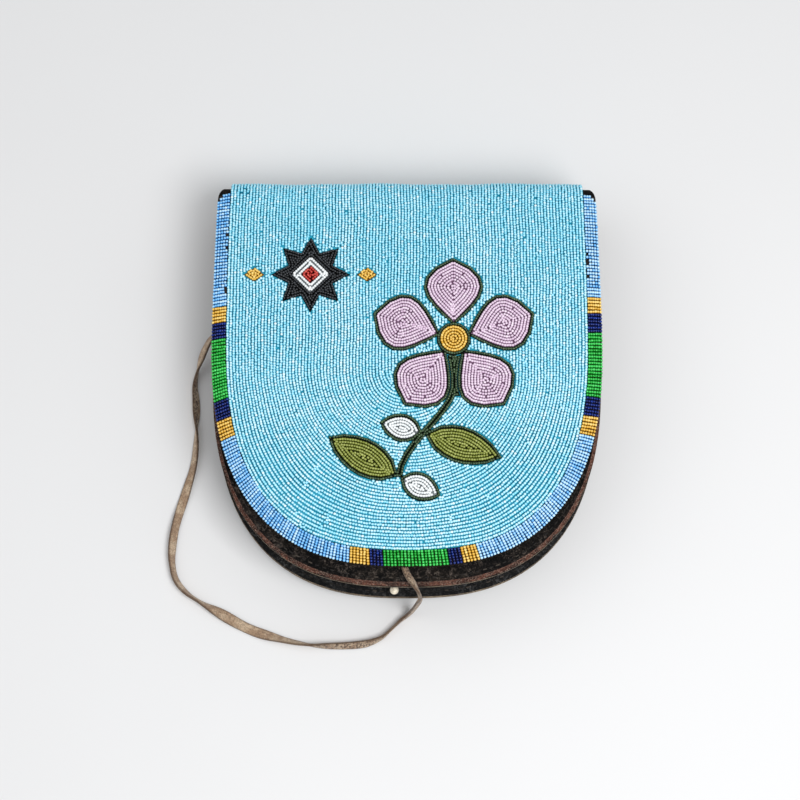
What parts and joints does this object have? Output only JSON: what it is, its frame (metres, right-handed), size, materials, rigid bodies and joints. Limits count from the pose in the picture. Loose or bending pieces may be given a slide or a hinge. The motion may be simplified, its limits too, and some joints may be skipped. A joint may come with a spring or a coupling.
{
  "type": "beaded belt pouch",
  "caption": "Flat D-shaped leather belt pouch: a gusseted pocket under a hinged, fully beaded flap, with belt loops behind, a ball stud and a suede lace.",
  "frame": {"origin": "under the middle of the pouch, on the surface that it lies on with its flap up", "axes": "+X across the pouch, +Y up to the fold, +Z out of the flap's face"},
  "size_m": [0.2092, 0.2243, 0.0472],
  "materials": {
    "black_leather": "worn satin",
    "raw_leather": "raw cut edge",
    "suede": "suede",
    "buckskin": "suede",
    "brass": "polished, worn",
    "copper": "tarnished",
    "beads_sky": "glossy opaque glass",
    "beads_periwinkle": "glossy opaque glass",
    "beads_yellow": "glossy opaque glass",
    "beads_navy": "glossy opaque glass",
    "beads_green": "glossy opaque glass",
    "beads_lilac": "glossy opaque glass",
    "beads_dark_green": "glossy opaque glass",
    "beads_olive": "glossy opaque glass",
    "beads_white": "glossy opaque glass",
    "beads_black": "glossy opaque glass",
    "beads_red": "glossy opaque glass"
  },
  "bodies": {
    "pocket": {"back_panel": "black_leather", "front_panel": "black_leather", "gusset": "black_leather", "front_welt": "raw_leather", "belt_loop_left": "black_leather", "belt_loop_right": "black_leather", "loop_rivet_left_top": "copper", "loop_rivet_left_bottom": "copper", "loop_rivet_right_top": "copper", "loop_rivet_right_bottom": "copper", "closing_stud": "brass", "stud_washer": "brass", "lace": "suede", "lace_root": "suede", "lace_tail": "suede"},
    "flap": {"flap_leather": "black_leather", "flap_hide": "buckskin", "bead_field": "beads_sky", "blossom_centre": "beads_yellow", "blossom_outline": "beads_dark_green", "bud_left": "beads_white", "bud_right": "beads_white", "dart_left": "beads_yellow", "dart_right": "beads_yellow", "leaf_left": "beads_olive", "leaf_right": "beads_olive", "petal_1": "beads_lilac", "petal_2": "beads_lilac", "petal_3": "beads_lilac", "petal_4": "beads_lilac", "petal_5": "beads_lilac", "rim_01_periwinkle": "beads_periwinkle", "rim_02_yellow": "beads_yellow", "rim_03_navy": "beads_navy", "rim_04_green": "beads_green", "rim_05_navy": "beads_navy", "rim_06_yellow": "beads_yellow", "rim_07_periwinkle": "beads_periwinkle", "rim_08_yellow": "beads_yellow", "rim_09_navy": "beads_navy", "rim_10_green": "beads_green", "rim_11_navy": "beads_navy", "rim_12_yellow": "beads_yellow", "rim_13_periwinkle": "beads_periwinkle", "rim_14_yellow": "beads_yellow", "rim_15_navy": "beads_navy", "rim_16_green": "beads_green", "rim_17_navy": "beads_navy", "rim_18_yellow": "beads_yellow", "rim_19_periwinkle": "beads_periwinkle", "star_black": "beads_black", "star_red": "beads_red", "star_white": "beads_white", "stem_outline": "beads_dark_green"}
  },
  "joints": [
    {"name": "flap_hinge", "type": "hinge", "parent": "pocket", "child": "flap", "pos_m": [0, 0.0973, 0.01015], "axis": [-1, 0, 0], "range_deg": [0, 100]}
  ]
}
